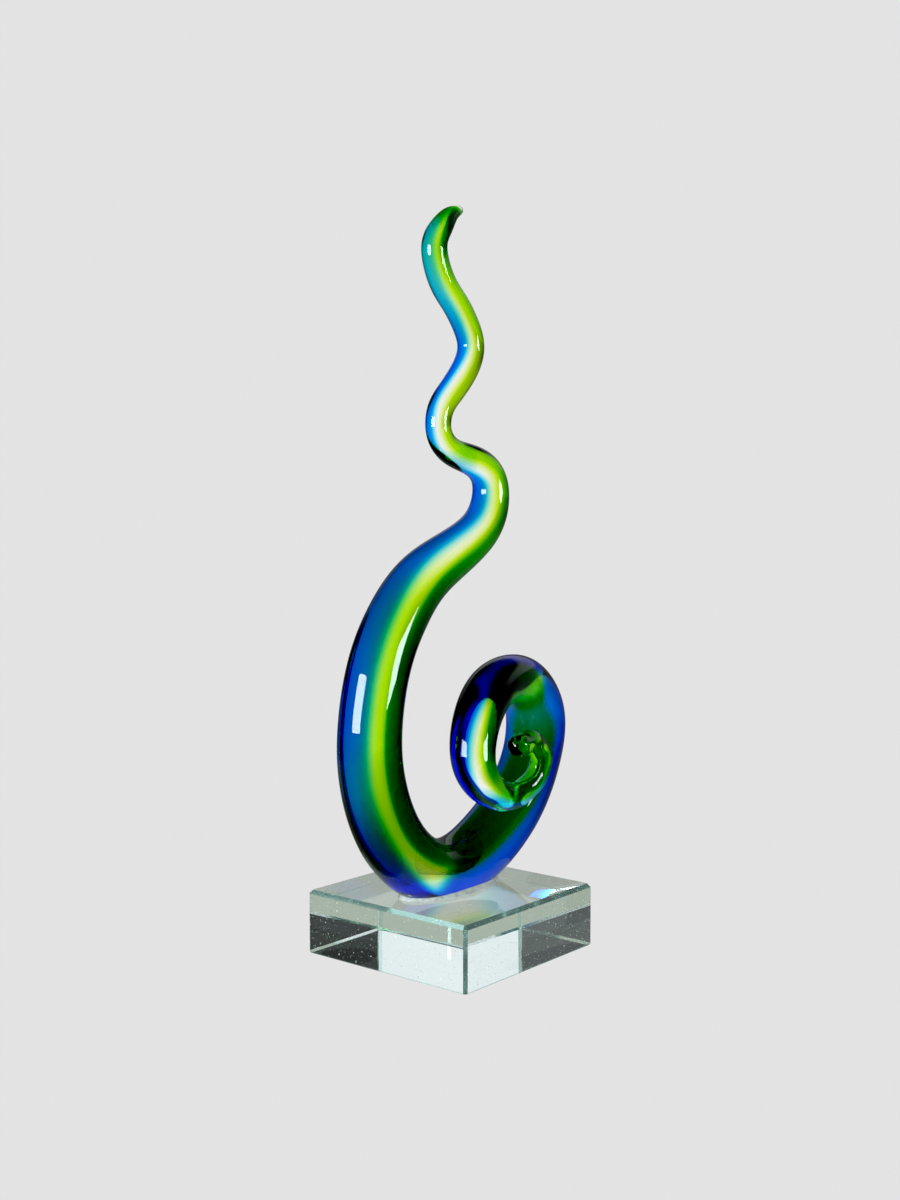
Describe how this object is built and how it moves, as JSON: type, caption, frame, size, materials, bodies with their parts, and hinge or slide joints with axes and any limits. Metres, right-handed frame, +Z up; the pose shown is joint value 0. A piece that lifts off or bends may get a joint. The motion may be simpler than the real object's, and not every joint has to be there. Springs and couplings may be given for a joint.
{
  "type": "glass wave sculpture",
  "caption": "Cased glass rod drawn into a rising wave above a swollen body and a spiral curl, glued to a square clear glass base; stands on a flat surface as an ornament.",
  "frame": {"origin": "middle of the underside of the square base block", "axes": "+Z up through the sculpture; +Y along the plane of the wave, towards the curl; +X towards the side that the curl steps out on; X and Y are square to the base's sides"},
  "size_m": [0.08, 0.1266, 0.2905],
  "materials": {
    "base_glass": "polished optical glass",
    "clear_adhesive": "clear cured glue",
    "casing_glass": "fire polished clear glass",
    "blue_glass": "transparent coloured glass",
    "yellow_green_glass": "transparent coloured glass"
  },
  "bodies": {
    "root": {"base_block": "base_glass", "adhesive_bond": "clear_adhesive", "clear_casing": "casing_glass", "blue_strip": "blue_glass", "yellow_green_strip": "yellow_green_glass"}
  },
  "joints": []
}
